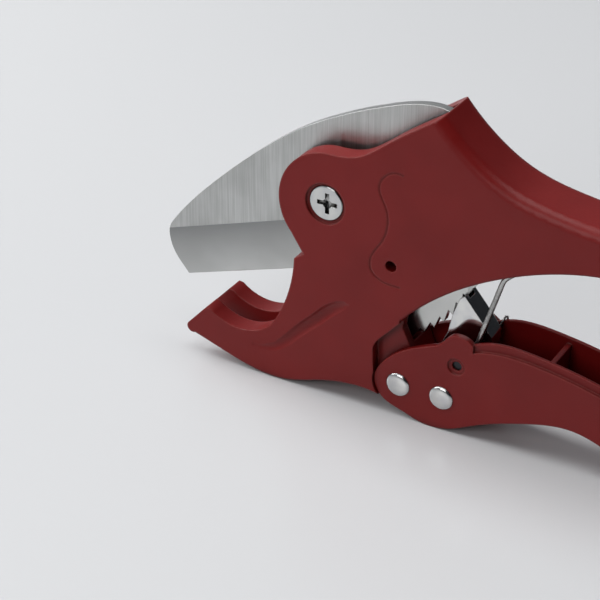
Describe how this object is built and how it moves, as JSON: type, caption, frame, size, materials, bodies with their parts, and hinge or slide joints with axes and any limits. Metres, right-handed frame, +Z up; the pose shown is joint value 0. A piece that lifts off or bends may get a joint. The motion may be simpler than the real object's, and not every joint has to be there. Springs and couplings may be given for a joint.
{
  "type": "pipe cutter",
  "caption": "Ratchet cutter for plastic pipe: red cast body with slotted hook jaw, steel blade with ratchet teeth, hinged lower handle, springs and latch bail.",
  "frame": {"origin": "centre of the bounding box in plan, at the surface that the tool stands on", "axes": "+X from the blade towards the handle ends, +Y along the pivots away from the side with the head screw, +Z up"},
  "size_m": [0.2184, 0.022, 0.1122],
  "materials": {
    "painted_casting": "satin",
    "blade_steel": "brushed",
    "plated_steel": "polished",
    "blackened_steel": "oiled",
    "spring_wire": "satin"
  },
  "bodies": {
    "body": {"main_body": "painted_casting", "head_screw": "plated_steel", "pivot_sleeve": "plated_steel", "blade_washers": "plated_steel", "blade_stop_pin": "blackened_steel", "blade_return_spring": "spring_wire", "opening_spring": "spring_wire", "spring_peg": "plated_steel", "stop_pawl_pin": "plated_steel", "stop_pawl_spring": "spring_wire"},
    "blade": {"blade": "blade_steel"},
    "lower_handle": {"lower_handle": "painted_casting", "lug_washers": "plated_steel", "handle_rivet": "plated_steel", "pawl_rivet": "plated_steel", "spring_pin": "blackened_steel", "pawl_spring": "spring_wire"},
    "drive_pawl": {"drive_pawl": "plated_steel"},
    "stop_pawl": {"stop_pawl": "blackened_steel"},
    "latch_bail": {"latch_bail": "plated_steel"}
  },
  "joints": [
    {"name": "blade_pivot", "type": "hinge", "parent": "body", "child": "blade", "pos_m": [-0.0408, 0, 0.073], "axis": [0, -1, 0], "range_deg": [-46, 25], "deforming": ["blade_return_spring"]},
    {"name": "handle_pivot", "type": "hinge", "parent": "body", "child": "lower_handle", "pos_m": [-0.0128, 0, 0.0124], "axis": [0, -1, 0], "range_deg": [0, 20], "stiffness_Nm_per_rad": 0.4, "springref_deg": -28.65, "deforming": ["opening_spring"]},
    {"name": "drive_pawl_pivot", "type": "hinge", "parent": "lower_handle", "child": "drive_pawl", "pos_m": [0.0032, 0, 0.0124], "axis": [0, -1, 0], "range_deg": [-27, 0], "deforming": ["pawl_spring"]},
    {"name": "stop_pawl_pivot", "type": "hinge", "parent": "body", "child": "stop_pawl", "pos_m": [0.0212, 0, 0.071], "axis": [0, -1, 0], "range_deg": [-14, 0], "stiffness_Nm_per_rad": 0.02, "springref_deg": 17.19, "deforming": ["stop_pawl_spring"]},
    {"name": "latch_swing", "type": "hinge", "parent": "body", "child": "latch_bail", "pos_m": [0.1002, 0, 0.076], "axis": [0, -1, 0], "range_deg": [0, 60]}
  ],
  "couplings": [
    {"joint": "drive_pawl_pivot", "follows": "handle_pivot", "ratio": -1.35}
  ]
}
